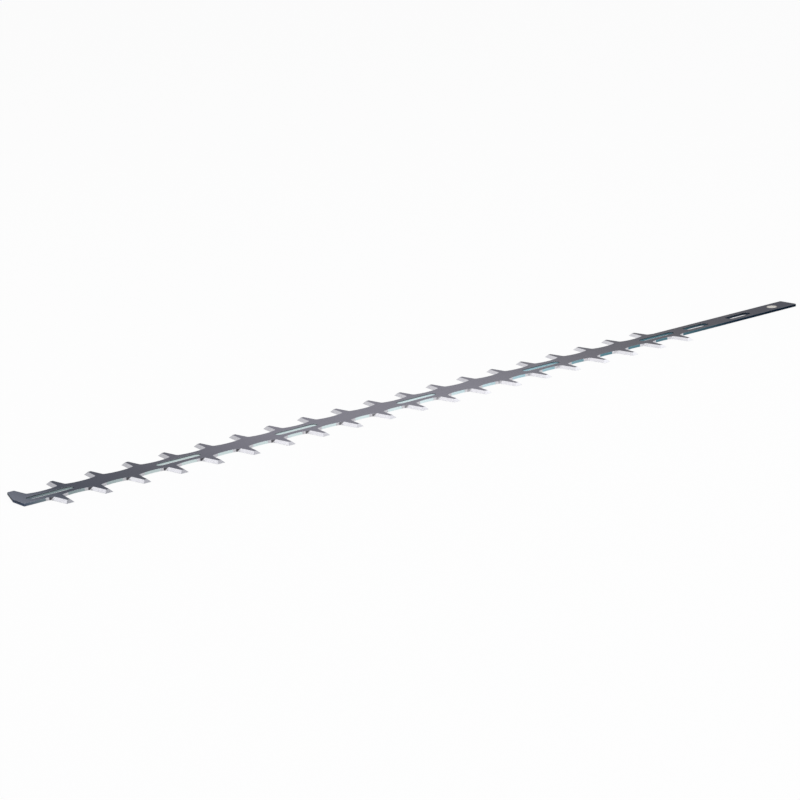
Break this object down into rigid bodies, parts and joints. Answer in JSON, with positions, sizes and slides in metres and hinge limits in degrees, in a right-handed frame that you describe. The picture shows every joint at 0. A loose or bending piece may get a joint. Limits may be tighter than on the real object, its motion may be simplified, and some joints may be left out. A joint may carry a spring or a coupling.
{
  "type": "hedge trimmer cutting blade",
  "caption": "Double-sided hedge trimmer blade: a flat steel strip with ground teeth along both edges, guide slots, and a plain tang with slots and a drive hole.",
  "frame": {"origin": "centre of the drive hole, on the flat sliding face", "axes": "+X along the blade from the drive hole to the nose, +Y across to the side with the longer row of teeth, +Z through the thickness to the bevelled face"},
  "size_m": [0.735, 0.052, 0.002],
  "materials": {
    "steel": "finely brushed flats with bright ground bevels"
  },
  "bodies": {
    "root": {"blade": "steel"}
  },
  "joints": []
}
